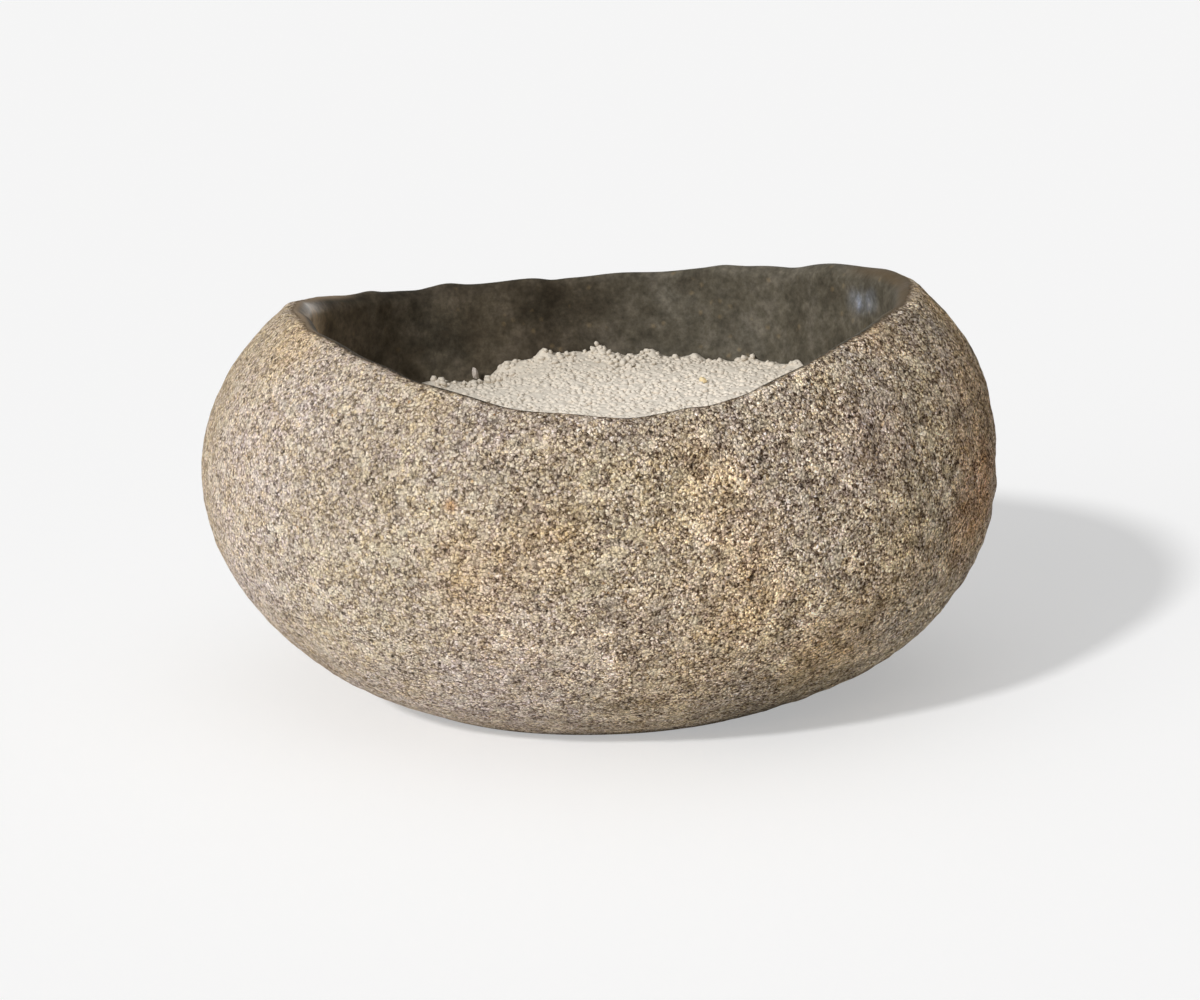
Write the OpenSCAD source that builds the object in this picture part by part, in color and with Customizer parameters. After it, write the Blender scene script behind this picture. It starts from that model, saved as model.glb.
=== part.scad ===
// River stone bowl.
// One river boulder, ground flat underneath and hollowed out from above, with
// a rounded, honed lip. It holds a bed of coarse white grains.
// Millimetres. +Z is up, +X is the right-hand end and -Y is the front. The
// origin is the middle of the ground base.

/* [Boulder] */
// Width of the boulder, from its left end to its right end
stone_w = 280; // [200:5:420]
// Depth of the boulder, from front to back
stone_d = 240; // [170:5:360]
// Height of its widest line above the ground base
girth_h = 79; // [60:1:100]
// Height of the natural top that was cut away, above the mean rim
cap_h = 67; // [50:1:110]
// Thickness ground off the underside to make the flat base
ground_t = 9.5; // [5:0.5:15]
// Bow of the outline above the widest line: more keeps it upright for longer
crown_bow = 2.4; // [2:0.05:3]
// How much more it bows at the right-hand end, and less at the left
bow_end = 0.15; // [0:0.05:0.4]
// How quickly that outline turns over at the top
crown_turn = 0.93; // [0.8:0.01:1.5]
// Fullness of the outline below the widest line: more is squarer
keel_turn = 2.37; // [2:0.01:3]
// Height of the broad waves that the river wore in the sides
wear_h = 1; // [0:0.1:2.5]

/* [Rim] */
// Height of the rim at the right-hand end
rim_right = 144.5; // [125:0.5:165]
// Height of the rim at the left-hand end
rim_left = 136.5; // [120:0.5:160]
// Height of the rim in the middle of the back
rim_back = 129; // [115:0.5:150]
// Height of the rim in the middle of the front
rim_front = 122.5; // [110:0.5:145]
// How far the rim twists from corner to corner
rim_skew = 2.5; // [0:0.5:5]
// How far the rim bends at its thirds
rim_bend = 2; // [0:0.5:4]
// Height of the small waves left where the rim was dressed by hand
dressing_h = 0.4; // [0:0.1:1.2]
// Radius of the rounded lip at the front and back
lip_side = 2.6; // [1.5:0.1:4.5]
// Radius of the rounded lip at the two ends
lip_end = 6.5; // [2:0.1:8]

/* [Hollow] */
// Thickness of the stone left under the hollow
floor_t = 40; // [25:1:60]
// How long the hollow's wall stays upright below the lip
hollow_wall = 2.6; // [2:0.1:4]
// How wide the hollow's floor is: more is flatter
hollow_turn = 2.2; // [1.8:0.1:3]

/* [Fill] */
// Depth of the fill below the mean rim
fill_drop = 33.5; // [20:0.5:50]
// Rise of the fill from its middle to the right-hand end
heap_h = 2; // [0:0.5:8]
// Depth of the dip beside the back left wall
dip_h = 9; // [0:0.5:12]
// Width of that dip
dip_w = 76; // [40:2:110]
// Direction of that dip from the middle, anticlockwise from the right end
dip_a = 128; // [100:1:150]
// Length of a loose grain
grain_l = 5.2; // [3.5:0.1:6.5]
// Distance between the loose grains on top of the fill
grain_pitch = 11.5; // [9:0.5:18]
// Clearance between a piece and the surface that carries it
seat_gap = 0.3; // [0.25:0.05:0.5]

/* [Odd grains] */
// Length of the amber grain
amber_l = 5; // [3:0.1:7]
// Direction of the amber grain from the middle
amber_a = 46; // [30:1:80]
// Distance of the amber grain from the wall
amber_in = 43; // [10:1:60]
// Length of the grain that leans on the back left wall
wall_grain_l = 5; // [3:0.1:6]
// Direction of that grain from the middle
wall_grain_a = 119; // [105:1:150]

/* [Hidden] */

// Facets around, and rings along each stretch of the stone's section
around = 96;
keel_rings = 12;
crown_rings = 9;
lip_rings = 6;
hollow_rings = 14;
// The same for the fill
bed_around = 48;
bed_wall_rings = 7;
bed_top_rings = 8;

half_w = stone_w/2;
half_d = stone_d/2;
rim_mean = (rim_right + rim_left + rim_back + rim_front)/4;
rim_tilt = (rim_right - rim_left)/2;
rim_saddle = (rim_right + rim_left - rim_back - rim_front)/4;
rim_rise = (rim_back - rim_front)/2 - rim_bend;
crown_h = rim_mean + cap_h - girth_h;
keel_h = girth_h + ground_t;
base_a = asin(girth_h/keel_h);
fill_z = rim_mean - fill_drop;

// Outline of the boulder seen from above: an ellipse that is a little fuller
// at the right-hand end
function plan_r(a) =
    (1 + 0.008*sin(2*a) + 0.016*cos(3*a))/norm([cos(a)/half_w, sin(a)/half_d]);

// Share of that outline left at a height above, and below, the widest line
function crown_share(a, z) =
    let (u = min((z - girth_h)/crown_h, 0.999))
    pow(1 - pow(u, crown_bow + bow_end*cos(a)), 1/crown_turn);
function keel_share(z) =
    let (u = min((girth_h - z)/keel_h, 0.9999))
    pow(1 - u*u, 1/keel_turn);

// Broad waves over the worn sides, which fade out towards the base
function wear(a, z) =
    wear_h*(1.1*sin(3*a + 1.5*z + 153) - 0.85*sin(5*a - 2.2*z + 269) + 0.2*sin(8*a + 2.9*z + 254));
function outer_r(a, z) =
    let (fade = 1 - pow(max(girth_h - z, 0)/keel_h, 4))
    plan_r(a)*(z > girth_h ? crown_share(a, z) : keel_share(z)) + fade*wear(a, z);

// Height of the rim, and radius of its lip, in a direction
function dressing(a) = dressing_h*(0.6*sin(20*a + 165) - sin(5*a + 111) + 0.5*sin(16*a + 191));
function rim_z(a) =
    rim_mean + rim_tilt*cos(a) + rim_rise*sin(a) + rim_saddle*cos(2*a)
    + rim_skew*sin(2*a) - rim_bend*sin(3*a) + dressing(a);
function lip_r(a) = lip_side + (lip_end - lip_side)*pow(cos(a), 2);

// The lip is an arc from the outer wall over to the hollow's wall: it starts
// where its normal leans as far up as the outer wall's does
function lip_lean(a) =
    let (z = rim_z(a) - 0.35*lip_r(a))
    atan((outer_r(a, z - 1) - outer_r(a, z + 1))/2);
function lip_start_z(a) = rim_z(a) - lip_r(a)*(1 - sin(lip_lean(a)));
function lip_mid_r(a) = outer_r(a, lip_start_z(a)) - lip_r(a)*cos(lip_lean(a));

// The hollow's mouth is where the lip ends and its wall begins
function mouth_r(a) = lip_mid_r(a) - lip_r(a);
function mouth_z(a) = rim_z(a) - lip_r(a);
function hollow_r(a, z) =
    let (t = min(max((mouth_z(a) - z)/(mouth_z(a) - floor_t), 0), 1))
    mouth_r(a)*pow(1 - pow(t, hollow_wall), 1/hollow_turn);

// Surface of the fill: higher to the right, with a dip by the back left wall
dip_r = hollow_r(dip_a, fill_z);
function bed_z(x, y) =
    let (d = norm([x - dip_r*cos(dip_a), y - dip_r*sin(dip_a)]))
    fill_z + heap_h*x/half_w - dip_h*exp(-pow(2*d/dip_w, 4));

// Places of the two odd grains, measured in from the wall
amber_at = (hollow_r(amber_a, fill_z) - amber_in)*[cos(amber_a), sin(amber_a)];
wall_grain_at = (hollow_r(wall_grain_a, fill_z - dip_h) - wall_grain_l/2 - 2*seat_gap)
    *[cos(wall_grain_a), sin(wall_grain_a)];

function polar(r, a, z) = [r*cos(a), r*sin(a), z];
function turn(n) = [for (j = [0:n - 1]) 360*j/n];

// Rings of the stone, from its base over the lip and down the hollow
function keel_ring(i) =
    let (z = girth_h - keel_h*sin(base_a*(1 - i/keel_rings)))
    [for (a = turn(around)) polar(outer_r(a, z), a, z)];
function crown_ring(i) =
    [for (a = turn(around))
        let (z = girth_h + (lip_start_z(a) - girth_h)*i/crown_rings)
        polar(outer_r(a, z), a, z)];
function lip_ring(i) =
    [for (a = turn(around))
        let (lean = lip_lean(a), b = lean + (180 - lean)*i/lip_rings)
        polar(lip_mid_r(a) + lip_r(a)*cos(b), a, mouth_z(a) + lip_r(a)*sin(b))];
function hollow_ring(i) =
    let (b = 90*i/hollow_rings, t = pow(sin(b), 2/hollow_wall))
    [for (a = turn(around))
        polar(mouth_r(a)*pow(cos(b), 2/hollow_turn), a, mouth_z(a) + (floor_t - mouth_z(a))*t)];

// Rings of the fill, from its middle underneath, out to the wall and back
// over the top to its middle
function bed_edge_z(a) =
    let (r = hollow_r(a, fill_z) - seat_gap)
    bed_z(r*cos(a), r*sin(a));
function bed_edge_r(a) = hollow_r(a, bed_edge_z(a)) - seat_gap;
function bed_wall_ring(i) =
    [for (a = turn(bed_around))
        let (
            drop = mouth_z(a) - floor_t,
            edge = asin(pow((mouth_z(a) - bed_edge_z(a) + seat_gap)/drop, hollow_wall/2)),
            b = 90 - (90 - edge)*i/bed_wall_rings,
            r = mouth_r(a)*pow(cos(b), 2/hollow_turn) - seat_gap
        )
        polar(r, a, mouth_z(a) - drop*pow(sin(b), 2/hollow_wall) + seat_gap)];
function bed_top_ring(i) =
    [for (a = turn(bed_around))
        let (r = bed_edge_r(a)*(1 - i/bed_top_rings))
        polar(r, a, bed_z(r*cos(a), r*sin(a)))];

// One closed skin over a stack of rings, each end of which closes to a point
module skin(rings, first_point, last_point) {
    n = len(rings[0]);
    last = n*(len(rings) - 1);
    points = [for (ring = rings) each ring, first_point, last_point];
    sides = [
        for (i = [0:n:last - 1], j = [0:n - 1])
            let (a = i + j, b = i + (j + 1) % n)
            each [[a, a + n, b + n], [a, b + n, b]]
    ];
    ends = [
        for (j = [0:n - 1])
            let (b = (j + 1) % n)
            each [[last + n, j, b], [last + n + 1, last + b, last + j]]
    ];
    polyhedron(points, concat(sides, ends), convexity = 6);
}

// A broken grain at x, y: five corners that follow the fill's surface under
// it, five more turned half a side and set in above them, and a blunt tip
module grain(x, y, length, seed) {
    chip = rands(0.8, 1, 10, seed);
    spin = rands(0, 72, 1, seed + 1)[0];
    tall = length*rands(0.5, 0.75, 1, seed + 2)[0];
    function corner(k, r, a) = [x + r*chip[k]*cos(a), y + 0.8*r*chip[k]*sin(a)];
    function seat(p, lift) = [p.x, p.y, bed_z(p.x, p.y) + seat_gap + lift];
    skin(
        [
            [for (k = [0:4]) seat(corner(k, 0.44*length, spin + 72*k), 0)],
            [for (k = [0:4]) seat(corner(k + 5, 0.5*length, spin + 72*k + 30), 0.55*tall)]
        ],
        first_point = seat([x, y], 0),
        last_point = seat([x + 0.06*length, y], tall)
    );
}

// The boulder is worn all over, then ground flat underneath
module stone_bowl() {
    color("tan")
    difference() {
        skin(
            [
                for (i = [0:keel_rings - 1]) keel_ring(i),
                for (i = [0:crown_rings]) crown_ring(i),
                for (i = [1:lip_rings]) lip_ring(i),
                for (i = [1:hollow_rings - 1]) hollow_ring(i)
            ],
            first_point = [0, 0, -ground_t],
            last_point = [0, 0, floor_t]
        );
        translate([-stone_w, -stone_d, -2*ground_t])
        cube([2*stone_w, 2*stone_d, 2*ground_t]);
    }
}

// The body of the fill, packed down to the floor of the hollow
module grain_bed() {
    color("ivory")
    skin(
        [
            for (i = [1:bed_wall_rings]) bed_wall_ring(i),
            for (i = [0:bed_top_rings - 1]) bed_top_ring(i)
        ],
        first_point = [0, 0, floor_t + seat_gap],
        last_point = [0, 0, bed_z(0, 0)]
    );
}

// Loose grains scattered over the fill, each within its own cell of a
// staggered grid, short of the wall and clear of the two odd grains
module top_grains() {
    rows = ceil(half_d/grain_pitch);
    columns = ceil(half_w/grain_pitch);
    roam = (grain_pitch - grain_l)/2 - seat_gap;
    color("white")
    for (j = [-rows:rows], i = [-columns:columns]) {
        seed = 7 + 3*(i + columns) + 300*(j + rows);
        stray = rands(-roam, roam, 2, seed);
        x = grain_pitch*(i + 0.5*abs(j % 2)) + stray.x;
        y = 0.866*grain_pitch*j + stray.y;
        reach = norm([x, y]) + grain_l/2 + 1;
        free = norm([x, y] - amber_at) > (grain_l + amber_l)/2 + seat_gap
            && norm([x, y] - wall_grain_at) > (grain_l + wall_grain_l)/2 + seat_gap;
        if (free && reach < hollow_r(atan2(y, x), fill_z))
            grain(x, y, grain_l*rands(0.75, 1, 1, seed + 2)[0], seed);
    }
}

module amber_grain() {
    color("goldenrod")
    grain(amber_at.x, amber_at.y, amber_l, 11);
}

module wall_grain() {
    color("wheat")
    grain(wall_grain_at.x, wall_grain_at.y, wall_grain_l, 5);
}

stone_bowl();
grain_bed();
top_grains();
amber_grain();
wall_grain();
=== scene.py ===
"""Looks of the river stone bowl: the worn boulder, its honed lip and hollow, and the loose white grains.

Shapes are worked out in millimetres with the same formulas and sizes as the solids, and turned into metres as
each mesh is made. Angles are in degrees, anticlockwise from +X seen from above.
"""

import math

import bpy
import numpy as np
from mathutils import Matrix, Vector


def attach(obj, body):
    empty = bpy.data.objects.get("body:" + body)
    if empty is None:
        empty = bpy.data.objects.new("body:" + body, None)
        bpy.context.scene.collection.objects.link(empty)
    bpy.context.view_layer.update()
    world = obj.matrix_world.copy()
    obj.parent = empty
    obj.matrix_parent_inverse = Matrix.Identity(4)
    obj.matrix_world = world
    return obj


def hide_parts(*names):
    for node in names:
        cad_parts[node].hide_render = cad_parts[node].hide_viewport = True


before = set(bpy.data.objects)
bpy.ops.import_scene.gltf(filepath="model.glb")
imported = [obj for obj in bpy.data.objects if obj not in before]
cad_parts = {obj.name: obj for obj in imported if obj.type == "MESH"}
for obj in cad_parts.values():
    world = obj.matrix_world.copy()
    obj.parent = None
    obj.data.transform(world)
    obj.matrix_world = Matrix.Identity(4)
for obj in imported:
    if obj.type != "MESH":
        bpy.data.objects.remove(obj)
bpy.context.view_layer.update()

MM = 0.001

# Boulder, rim, hollow and fill, as the solids have them
STONE_W, STONE_D = 280.0, 240.0
GIRTH_H, CAP_H, GROUND_T = 79.0, 67.0, 9.5
CROWN_BOW, BOW_END, CROWN_TURN, KEEL_TURN = 2.4, 0.15, 0.93, 2.37
WEAR_H, DRESSING_H = 1.0, 0.4
RIM_RIGHT, RIM_LEFT, RIM_BACK, RIM_FRONT = 144.5, 136.5, 129.0, 122.5
RIM_SKEW, RIM_BEND = 2.5, 2.0
LIP_SIDE, LIP_END = 2.6, 6.5
FLOOR_T, HOLLOW_WALL, HOLLOW_TURN = 40.0, 2.6, 2.2
FILL_DROP, HEAP_H, DIP_H, DIP_W, DIP_A = 33.5, 2.0, 9.0, 76.0, 128.0
AMBER_L, AMBER_A, AMBER_IN = 5.0, 46.0, 43.0
WALL_GRAIN_L, WALL_GRAIN_A = 5.0, 119.0
SEAT_GAP = 0.3
# The boulder's plan is a little skewed and three-cornered
PLAN_SKEW, PLAN_CORNERS = 0.008, 0.016
# Waves of wear and of the rim's dressing: height, how many go round, the degrees that they turn per mm
# upwards, and where they start
WEAR_WAVES = [(1.1, 3, 1.5, 153), (-0.85, 5, -2.2, 269), (0.2, 8, 2.9, 254)]
DRESSING_WAVES = [(0.6, 20, 0, 165), (-1.0, 5, 0, 111), (0.5, 16, 0, 191)]
# How far below the rim the stone's lean is taken for the start of the lip, in radii of the lip
LEAN_AT = 0.35

HALF_W, HALF_D = STONE_W / 2, STONE_D / 2
RIM_MEAN = (RIM_RIGHT + RIM_LEFT + RIM_BACK + RIM_FRONT) / 4
RIM_TILT = (RIM_RIGHT - RIM_LEFT) / 2
RIM_SADDLE = (RIM_RIGHT + RIM_LEFT - RIM_BACK - RIM_FRONT) / 4
RIM_RISE = (RIM_BACK - RIM_FRONT) / 2 - RIM_BEND
CROWN_H = RIM_MEAN + CAP_H - GIRTH_H
KEEL_H = GIRTH_H + GROUND_T
BASE_A = math.degrees(math.asin(GIRTH_H / KEEL_H))
FILL_Z = RIM_MEAN - FILL_DROP

# Chips in the dressed rim: direction, half width in degrees, and depth, below 0 for a knob
RIM_CHIPS = [
    (140.5, 3.0, -0.9), (128.5, 3.0, 0.6), (122.0, 3.0, -1.0), (100.0, 2.6, 0.9),
    (62.0, 3.5, -1.0), (46.5, 5.0, 1.4), (236.0, 3.0, 0.5), (289.0, 2.5, 0.4),
]

# Where the honed stone begins, in mm past the lip's crest, and the places where it begins later or, below 0,
# earlier: direction, half width in degrees and how much
HONED_FROM = 0.3
HONED_LATE = [
    (176.0, 22.0, 0.6), (30.0, 18.0, -2.2), (348.0, 14.0, 0.7), (300.0, 26.0, 0.4), (95.0, 56.0, -1.7),
]

# Relief of the stone, in mm. Waves: height, size and seed. Pits: size of their cells, seed, share of the
# cells that have one, half width, and depth, of which the shallowest have the share PIT_LEAST
SLOW_WAVES, FINE_WAVES = [(0.40, 34, 1), (0.30, 15, 2)], [(0.22, 7, 3), (0.16, 3.6, 4), (0.10, 2.1, 5)]
PITS, PIT_LEAST = [(9, 6, 0.35, 2.6, 0.6), (5, 7, 0.4, 1.7, 0.4)], 0.4
TOOL_MARKS, HOLLOW_WAVES, LIP_WAVES = [(0.10, 4, 8)], [(0.12, 12, 9)], [(0.06, 9, 10)]
# How deep the reliefs outside and in the hollow are sunk, to stay inside the solid
ROUGH_SINK, HOLLOW_SINK = 0.45, 0.05
# The share by which the fine relief outside is higher at the right, and how far right that is full
COARSER, COARSER_AT = 0.9, 110
# The way round the hollow, and how much taller than wide its tool marks are
HOLLOW_ROUND, MARK_STRETCH = 640, 6
# Distances over which one relief gives way to the next: to either side of the honed stone's edge, below the
# lip, and above the ground face
EDGE_FADE, LIP_FADE, GROUND_FADE = 1.5, 6.0, 3.0

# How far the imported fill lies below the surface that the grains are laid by
BODY_DROP = 0.3
# Domes on its top: how far apart they are, how high, half their width as a share of how far apart, and how
# deep they are sunk as a share of how high; how far noise shifts them, and its size; and slow waves
DOME_PITCH, DOME_H, DOME_HALF, DOME_SINK = 3.4, 0.9, 0.8, 0.35
DOME_SHIFT, SHIFT_SIZE = 0.5, 2.6
FILL_WAVES = [(0.4, 7, 21)]

# The grains of that surface: how far apart they lie in a row, and the rows as a share of that; how far they
# stray along it, and up or down; and their lengths and their tilt
GRAIN_PITCH, ROW_SHARE, GRAIN_STRAY, GRAIN_STRAY_UP = 3.0, 0.866, 0.8, 0.3
GRAIN_LENGTH, GRAIN_TILT = (2.6, 4.2), 0.3
# Their layers: how high each lies, and the share of the places that it fills, all over and more by the back
# wall; and how far back that begins and is full
GRAIN_LAYERS = [(-0.62, 1.0, 0.0), (0.4, 0.07, 0.36)]
BY_WALL_FROM = (60, 80)
# The parts that chance and clumps play in which places are filled, the clumps' size and seed, and how far
# apart the layers lie in the clumps' noise
CHANCE_PART, CLUMP_PART = 0.3, 0.7
CLUMP_SIZE, CLUMP_SEED, LAYERS_APART = 7, 32, 5
# How far a grain's middle stays from the hollow's wall, as a share of its length
WALL_KEEP = 0.48
# A broken grain: how far its corners are dented or drawn out, and the least and the greatest of its half
# axes, as shares of half its length
DENTS, HALF_AXES = (0.72, 1.12), ([0.8, 0.65, 0.5], [1, 0.9, 0.8])

# Mesh divisions
AROUND = 560
FILL_AROUND, FILL_WALL_RINGS, FILL_TOP_RINGS = 480, 6, 140
BASE_RINGS, KEEL_RINGS, CROWN_RINGS, LIP_RINGS, WALL_RINGS, FLOOR_RINGS = 6, 52, 44, 14, 26, 10
# How far under the fill the hollow's fine rings go, and the power that brings the fill's rings closer by the
# wall
UNDER_FILL, RING_BOW = 6, 1.15
# Random values along each side of a noise lattice, after which it repeats
LATTICE = 32


def cosd(a):
    return np.cos(np.radians(a))


def sind(a):
    return np.sin(np.radians(a))


# Shapes


def bump(a, at, width):
    """1 in a direction, falling off round it like a bell."""
    return np.exp(-(((a - at + 180) % 360 - 180) / width) ** 2)


def round_waves(table, a, z=0.0):
    """Waves that go round the stone, and cross it at a slant where they turn with height."""
    return sum(height * sind(count * a + turn * z + start) for height, count, turn, start in table)


def outer_r(a, z):
    """Radius of the worn boulder in a direction at a height."""
    ellipse = np.hypot(cosd(a) / HALF_W, sind(a) / HALF_D)
    plan = (1 + PLAN_SKEW * sind(2 * a) + PLAN_CORNERS * cosd(3 * a)) / ellipse
    up = np.clip((z - GIRTH_H) / CROWN_H, 0, 0.999)
    down = np.clip((GIRTH_H - z) / KEEL_H, 0, 0.9999)
    crown = (1 - up ** (CROWN_BOW + BOW_END * cosd(a))) ** (1 / CROWN_TURN)
    keel = (1 - down**2) ** (1 / KEEL_TURN)
    wear = WEAR_H * round_waves(WEAR_WAVES, a, z)
    return plan * np.where(z > GIRTH_H, crown, keel) + (1 - down**4) * wear


def rim_z(a):
    dressing = DRESSING_H * round_waves(DRESSING_WAVES, a)
    chips = sum(depth * bump(a, at, width) for at, width, depth in RIM_CHIPS)
    return (
        RIM_MEAN + RIM_TILT * cosd(a) + RIM_RISE * sind(a) + RIM_SADDLE * cosd(2 * a)
        + RIM_SKEW * sind(2 * a) - RIM_BEND * sind(3 * a) + dressing - chips
    )


def lip(a):
    """Radius of the rounded lip, the lean and the height of its start, and how far out its middle lies."""
    r = LIP_SIDE + (LIP_END - LIP_SIDE) * cosd(a) ** 2
    z = rim_z(a) - LEAN_AT * r
    lean = np.degrees(np.arctan((outer_r(a, z - 1) - outer_r(a, z + 1)) / 2))
    start = rim_z(a) - r * (1 - sind(lean))
    return r, lean, start, outer_r(a, start) - r * cosd(lean)


def mouth(a):
    """Radius and height of the hollow's mouth, where the lip ends."""
    r, _, _, middle = lip(a)
    return middle - r, rim_z(a) - r


def hollow_r(a, z):
    mouth_r, mouth_z = mouth(a)
    t = np.clip((mouth_z - z) / (mouth_z - FLOOR_T), 0, 1)
    return mouth_r * (1 - t**HOLLOW_WALL) ** (1 / HOLLOW_TURN)


DIP_R = float(hollow_r(np.float64(DIP_A), FILL_Z))


def bed_z(x, y):
    """Height of the fill, which rises to the right and dips by the back left wall."""
    d = np.hypot(x - DIP_R * cosd(DIP_A), y - DIP_R * sind(DIP_A))
    return FILL_Z + HEAP_H * x / HALF_W - DIP_H * np.exp(-((2 * d / DIP_W) ** 4))


# Heaps of the fill along the back wall, below 0 for hollows: x, y, rise and radius
HEAPS = [
    (-65, 80, 2.2, 12), (-46, 88, -1.6, 4.5), (-36, 91, 3.4, 4.8), (-25, 94, 0.2, 6), (1, 95, 1.0, 5),
    (11, 94, -1.2, 5), (28, 90, -1.8, 5), (46, 85, -2.0, 9), (75, 62, 2.6, 5), (-21, 94, 4.0, 3.0),
    (-31, 92, 1.4, 5), (-9, 95, 1.0, 2.4), (0.5, 94, 2.8, 3.0), (20, 92, 2.4, 3.2), (37, 87, 2.0, 2.8),
    (57, 76, 1.8, 3.2), (73, 63, 1.0, 2.8), (-62, 77, 0.8, 3.0), (47, 83, 1.2, 2.6), (28, 90, 0.9, 2.2),
    (65, 70, 1.2, 2.4),
]


def loose_z(x, y):
    """Height of the fill's surface: the solid's, with small heaps by the back wall."""
    heaps = sum(rise * np.exp(-((x - hx) ** 2 + (y - hy) ** 2) / r**2) for hx, hy, rise, r in HEAPS)
    return bed_z(x, y) + heaps


# Noise


def lattice(p, cell, seed):
    """Smooth noise from -1 to 1 between random values on a lattice with that cell, at points p."""
    table = np.random.default_rng(seed).uniform(-1, 1, (LATTICE, LATTICE, LATTICE))
    q = p / cell
    low = np.floor(q).astype(int)
    f = q - low
    f = f * f * (3 - 2 * f)
    total = 0
    for corner in np.ndindex(2, 2, 2):
        i = (low + corner) % LATTICE
        weight = np.prod(np.where(corner, f, 1 - f), axis=-1)
        total = total + weight * table[i[..., 0], i[..., 1], i[..., 2]]
    return total


def waves(p, table):
    """Waves of smooth noise added up."""
    return sum(height * lattice(p, size, seed) for height, size, seed in table)


def cells(p, cell, seed):
    """Distance in cells to the nearest of a cloud of random points about one cell apart, and that point's own
    number from 0 to 1."""
    rng = np.random.default_rng(seed)
    jitter = rng.uniform(0, 1, (LATTICE, LATTICE, LATTICE, 3))
    number = rng.uniform(0, 1, (LATTICE, LATTICE, LATTICE))
    q = p / cell
    low = np.floor(q).astype(int)
    best = np.full(p.shape[:-1], np.inf)
    own = np.zeros(p.shape[:-1])
    for offset in np.ndindex(3, 3, 3):
        n = low + offset - 1
        i = n % LATTICE
        point = n + jitter[i[..., 0], i[..., 1], i[..., 2]]
        d = np.linalg.norm(q - point, axis=-1)
        nearer = d < best
        best = np.where(nearer, d, best)
        own = np.where(nearer, number[i[..., 0], i[..., 1], i[..., 2]], own)
    return best, own


def pits(p, cell, seed, share, width, depth):
    """Round pits in that share of the cells, up to that depth."""
    d, number = cells(p, cell, seed)
    here = number < share
    bowl = np.clip(1 - (d * cell / width) ** 2, 0, 1)
    return np.where(here, -depth * (PIT_LEAST + (1 - PIT_LEAST) * number / share) * bowl, 0)


# Meshes


def smoothstep(low, high, x):
    t = np.clip((x - low) / (high - low), 0, 1)
    return t * t * (3 - 2 * t)


def loft_faces(rings, around, first_point, last_point):
    """Quads between closed rings, and triangles to a point at either end."""
    i, j = np.meshgrid(np.arange(rings - 1) * around, np.arange(around), indexing="ij")
    k = (j + 1) % around
    quads = np.stack([i + j, i + k, i + k + around, i + j + around], -1).reshape(-1, 4).tolist()
    last = (rings - 1) * around
    fans = []
    for a in range(around):
        b = (a + 1) % around
        fans.append((first_point, b, a))
        fans.append((last_point, last + a, last + b))
    return quads + fans


def make_object(name, points, faces, smooth=True):
    """An object from points in millimetres."""
    mesh = bpy.data.meshes.new(name)
    mesh.from_pydata((np.asarray(points) * MM).tolist(), [], faces)
    mesh.polygons.foreach_set("use_smooth", [smooth] * len(mesh.polygons))
    mesh.update()
    obj = bpy.data.objects.new(name, mesh)
    bpy.context.collection.objects.link(obj)
    return obj


def surface_normals(p):
    """Unit normals of a grid of points whose rings close round on themselves."""
    along = np.gradient(p, axis=0)
    round_ = np.roll(p, -1, axis=1) - np.roll(p, 1, axis=1)
    n = np.cross(round_, along)
    return n / np.maximum(np.linalg.norm(n, axis=-1, keepdims=True), 1e-9)


def stone_section(a):
    """Rings of the stone as (radius, height) arrays, from the base over the lip to the hollow's floor, and
    the numbers of the ring on the lip's crest and of the ring where the lip ends."""
    lip_r, lean, start, middle = lip(a)
    mouth_r, mouth_z = mouth(a)
    edge = outer_r(a, 0 * a)
    rings = [(edge * k / (BASE_RINGS + 1), 0 * a) for k in range(1, BASE_RINGS + 1)]
    for k in range(KEEL_RINGS):
        z = max(GIRTH_H - KEEL_H * math.sin(math.radians(BASE_A * (1 - k / KEEL_RINGS))), 0)
        rings.append((outer_r(a, z + 0 * a), z + 0 * a))
    for k in range(CROWN_RINGS):
        z = GIRTH_H + (start - GIRTH_H) * k / CROWN_RINGS
        rings.append((outer_r(a, z), z))
    for k in range(LIP_RINGS // 2 + 1):
        b = lean + (90 - lean) * k / (LIP_RINGS // 2)
        rings.append((middle + lip_r * cosd(b), mouth_z + lip_r * sind(b)))
    crest = len(rings) - 1
    for k in range(1, LIP_RINGS // 2 + 1):
        b = 90 + 90 * k / (LIP_RINGS // 2)
        rings.append((middle + lip_r * cosd(b), mouth_z + lip_r * sind(b)))
    lip_to = len(rings) - 1
    under_fill = FILL_Z - DIP_H - UNDER_FILL
    for k in range(1, WALL_RINGS + 1):
        z = mouth_z + (under_fill - mouth_z) * k / WALL_RINGS
        rings.append((hollow_r(a, z), z))
    t_low = (mouth_z - under_fill) / (mouth_z - FLOOR_T)
    b_low = np.degrees(np.arcsin(t_low ** (HOLLOW_WALL / 2)))
    for k in range(1, FLOOR_RINGS):
        b = b_low + (90 - b_low) * k / FLOOR_RINGS
        z = mouth_z + (FLOOR_T - mouth_z) * sind(b) ** (2 / HOLLOW_WALL)
        rings.append((mouth_r * cosd(b) ** (2 / HOLLOW_TURN), z))
    return np.array(rings), crest, lip_to


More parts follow.
